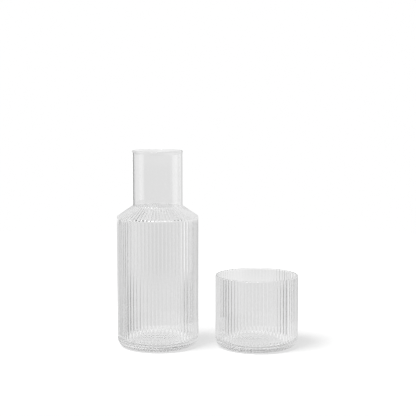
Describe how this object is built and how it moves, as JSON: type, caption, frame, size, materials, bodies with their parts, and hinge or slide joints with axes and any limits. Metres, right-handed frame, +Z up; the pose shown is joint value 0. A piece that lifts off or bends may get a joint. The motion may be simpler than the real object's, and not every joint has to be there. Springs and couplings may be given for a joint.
{
  "type": "bedside carafe with tumbler",
  "caption": "Clear ribbed glass carafe with a plain neck, and a wide ribbed tumbler that also fits over the neck as its lid.",
  "frame": {"origin": "centre of the ring that the carafe stands on", "axes": "+Z up through the carafe's mouth, +X towards the tumbler, -Y towards the side that the picture shows"},
  "size_m": [0.1869, 0.088, 0.2021],
  "materials": {
    "carafe_glass": "clear, fire-polished",
    "tumbler_glass": "clear, fire-polished"
  },
  "bodies": {
    "carafe": {"carafe": "carafe_glass"},
    "tumbler": {"tumbler": "tumbler_glass"}
  },
  "joints": [
    {"name": "tumbler_lift", "type": "slide", "parent": "carafe", "child": "tumbler", "axis": [0, 0, 1], "range_m": [0, 0.21]}
  ]
}
